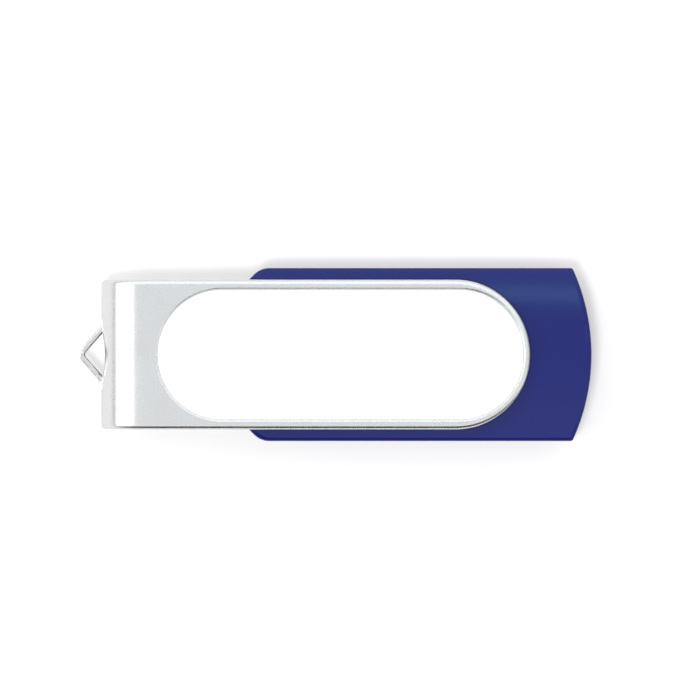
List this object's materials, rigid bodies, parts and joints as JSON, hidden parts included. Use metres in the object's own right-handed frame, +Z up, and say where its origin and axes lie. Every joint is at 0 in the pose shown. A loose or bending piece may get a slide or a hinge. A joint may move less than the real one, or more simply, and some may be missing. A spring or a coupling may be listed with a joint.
{
  "type": "usb flash drive",
  "caption": "Swivel usb flash drive: blue two-part plastic body, plug under a folded satin metal cover with a blank label field and a formed key loop, turning on a rivet.",
  "frame": {"origin": "middle of the closed drive's footprint, on the surface that it lies on", "axes": "+X along the length from the key loop to the round end of the body, +Y across, +Z up through the front plate of the cover"},
  "size_m": [0.0566, 0.019, 0.0096],
  "materials": {
    "satin_metal": "bead-blasted satin",
    "rivet_steel": "turned",
    "nylon": "smooth",
    "label_white": "blank vinyl film",
    "dome_clear": "clear polyurethane dome",
    "blue_plastic": "fine satin",
    "plug_steel": "nickel plated",
    "tongue_plastic": "moulded",
    "gold": "gold flashed",
    "board_green": "solder mask",
    "chip_epoxy": "moulded epoxy",
    "tinned_metal": "tin plated",
    "solder": "reflowed",
    "can_metal": "plated lid",
    "led_resin": "clear resin",
    "ceramic_tan": "sintered",
    "chip_black": "glazed"
  },
  "bodies": {
    "drive": {"upper_shell": "blue_plastic", "lower_shell": "blue_plastic", "plug_shell": "plug_steel", "contact_tongue": "tongue_plastic", "plug_contacts": "gold", "circuit_board": "board_green", "controller_chip": "chip_epoxy", "controller_leads": "tinned_metal", "regulator_chip": "chip_epoxy", "regulator_leads": "tinned_metal", "flash_chip": "chip_epoxy", "flash_solder_balls": "solder", "crystal_can": "can_metal", "status_led": "led_resin", "chip_capacitors": "ceramic_tan", "chip_resistors": "chip_black", "solder_joints": "solder"},
    "cover": {"swivel_clip": "satin_metal", "pivot_rivet": "rivet_steel", "upper_washer": "nylon", "lower_washer": "nylon", "front_label_film": "label_white", "front_label_dome": "dome_clear", "back_label_film": "label_white", "back_label_dome": "dome_clear"}
  },
  "joints": [
    {"name": "cover_swivel", "type": "hinge", "parent": "drive", "child": "cover", "pos_m": [0.01328, 0, 0.0048], "axis": [0, 0, 1], "continuous": true}
  ]
}
